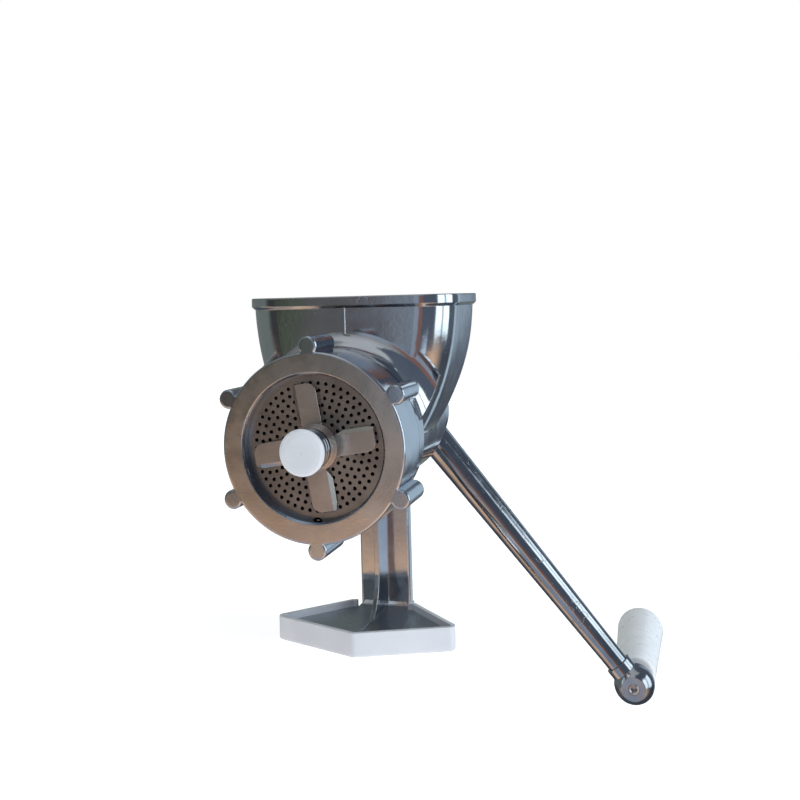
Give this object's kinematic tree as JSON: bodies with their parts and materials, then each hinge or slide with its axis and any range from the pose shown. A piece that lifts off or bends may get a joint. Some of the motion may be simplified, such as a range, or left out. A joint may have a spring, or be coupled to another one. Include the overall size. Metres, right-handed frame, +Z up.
{
  "type": "hand crank meat grinder",
  "caption": "Table-clamped hand crank grinder with a rectangular hopper, a lugged ring nut over a fine perforated plate, an outside cross knife and a long crank with a white grip.",
  "frame": {"origin": "on the table top, at the middle of the underside of the white shoe under the foot", "axes": "+Z up, -Y towards the outlet, +Y towards the crank, the crank leans to +X at rest"},
  "size_m": [0.1749, 0.2493, 0.2835],
  "materials": {
    "polished_casting": "polished and tumbled casting",
    "nut_metal": "satin, turned face",
    "plate_steel": "ground and drilled",
    "knife_steel": "ground",
    "chrome": "bright plating with fine scratches",
    "bright_steel": "turned",
    "feed_casting": "tinned casting",
    "white_plastic": "moulded, smooth",
    "bearing_plastic": "moulded",
    "brass": "turned"
  },
  "bodies": {
    "frame": {"housing": "polished_casting", "foot_shoe": "white_plastic", "cutting_plate": "plate_steel", "plate_key": "bright_steel", "rear_bush": "bearing_plastic"},
    "ring_nut": {"ring_nut": "nut_metal"},
    "rotor": {"feed_screw": "feed_casting", "knife_stud": "bright_steel", "stud_pin": "bright_steel", "thrust_washer": "bright_steel", "cross_knife": "knife_steel", "knife_spring": "chrome", "spring_cup": "chrome", "crank_hub": "chrome", "crank_arm": "chrome", "crank_ball": "chrome", "crank_washer": "bright_steel", "handle_spindle": "bright_steel", "grip_washer": "bright_steel", "spindle_nut": "bright_steel"},
    "knob": {"knob": "white_plastic", "knob_insert": "brass"},
    "wing_screw": {"wing_screw": "chrome"},
    "grip": {"grip": "white_plastic", "grip_plug": "white_plastic"},
    "clamp_pad": {"pressure_pad": "bright_steel", "pad_cap": "white_plastic"},
    "clamp_screw": {"clamp_screw": "bright_steel"},
    "tommy_bar": {"tommy_bar": "chrome", "tommy_caps": "white_plastic"}
  },
  "joints": [
    {"name": "crank_turn", "type": "hinge", "parent": "frame", "child": "rotor", "pos_m": [0, 0, 0.098], "axis": [0, 1, 0], "continuous": true},
    {"name": "grip_spin", "type": "hinge", "parent": "rotor", "child": "grip", "pos_m": [0.11377, 0.12, -0.04149], "axis": [0, 1, 0], "continuous": true},
    {"name": "ring_nut_turn", "type": "hinge", "parent": "frame", "child": "ring_nut", "pos_m": [0, -0.06, 0.098], "axis": [0, -1, 0], "range_deg": [0, 1080]},
    {"name": "knob_turn", "type": "hinge", "parent": "rotor", "child": "knob", "pos_m": [0, -0.078, 0.098], "axis": [0, -1, 0], "range_deg": [0, 1800]},
    {"name": "wing_screw_turn", "type": "hinge", "parent": "rotor", "child": "wing_screw", "pos_m": [0, 0.095, 0.098], "axis": [0, 1, 0], "range_deg": [0, 2160]},
    {"name": "clamp_pad_travel", "type": "slide", "parent": "frame", "child": "clamp_pad", "axis": [0, 0, 1], "range_m": [-0.01, 0.022]},
    {"name": "clamp_screw_turn", "type": "hinge", "parent": "clamp_pad", "child": "clamp_screw", "pos_m": [0, -0.002, -0.08], "axis": [0, 0, 1], "range_deg": [-1800, 3960]},
    {"name": "tommy_bar_slide", "type": "slide", "parent": "clamp_screw", "child": "tommy_bar", "axis": [1, 0, 0], "range_m": [-0.026, 0.026]}
  ],
  "couplings": [
    {"joint": "clamp_pad_travel", "follows": "clamp_screw_turn", "m_per_rad": 0.0003183}
  ]
}
